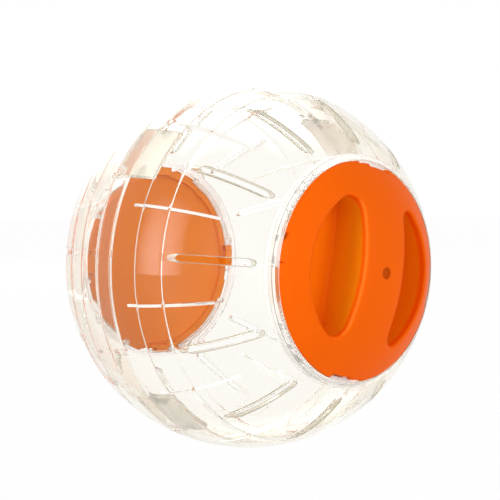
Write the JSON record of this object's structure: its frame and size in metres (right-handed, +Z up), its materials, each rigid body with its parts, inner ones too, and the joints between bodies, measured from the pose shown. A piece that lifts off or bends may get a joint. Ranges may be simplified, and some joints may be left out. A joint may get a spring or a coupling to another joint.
{
  "type": "hamster ball",
  "caption": "Clear plastic exercise ball in plugged half shells with radial air slots, grip ribs and an orange twist-lock cap in each pole, the front one with two finger pockets.",
  "frame": {"origin": "centre of the ball", "axes": "+Y along the line through both caps, away from the front cap; +Z up"},
  "size_m": [0.12, 0.1216, 0.12],
  "materials": {
    "clear_plastic": "gloss",
    "orange_plastic": "satin"
  },
  "bodies": {
    "front_half": {"front_half_shell": "clear_plastic"},
    "rear_half": {"rear_half_shell": "clear_plastic"},
    "front_lid": {"front_cap": "orange_plastic"},
    "rear_lid": {"rear_cap": "orange_plastic"}
  },
  "joints": [
    {"name": "half_shell_pull", "type": "slide", "parent": "front_half", "child": "rear_half", "axis": [0, 1, 0], "range_m": [0, 0.06]},
    {"name": "front_cap_twist", "type": "hinge", "parent": "front_half", "child": "front_lid", "pos_m": [0, 0, 0], "axis": [0, -1, 0], "range_deg": [0, 19]},
    {"name": "rear_cap_twist", "type": "hinge", "parent": "rear_half", "child": "rear_lid", "pos_m": [0, 0, 0], "axis": [0, 1, 0], "range_deg": [0, 19]}
  ]
}
